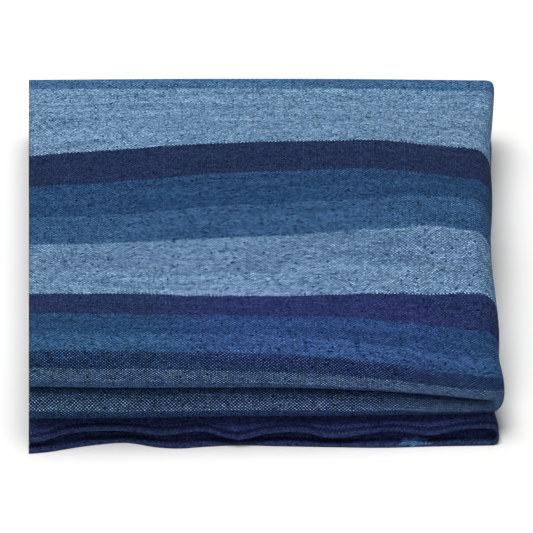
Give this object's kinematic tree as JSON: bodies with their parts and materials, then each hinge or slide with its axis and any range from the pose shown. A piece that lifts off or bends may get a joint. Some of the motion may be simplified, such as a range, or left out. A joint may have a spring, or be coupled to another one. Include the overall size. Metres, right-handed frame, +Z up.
{
  "type": "folded length of striped cotton cloth",
  "caption": "Folded length of indigo and light blue striped handloom cotton: one sheet, doubled across and folded front and back into a soft packet.",
  "frame": {"origin": "under the middle of the packet's box, on the surface that the packet lies on", "axes": "+Z up through the layers, +X towards the crosswise fold, +Y towards the back fold, along the cloth's length"},
  "size_m": [0.2641, 0.2839, 0.065],
  "materials": {
    "striped_cotton": "matt plain-weave cotton with bands of navy, mid blue and heathered light blue"
  },
  "bodies": {
    "root": {"folded_cotton_cloth": "striped_cotton"}
  },
  "joints": []
}
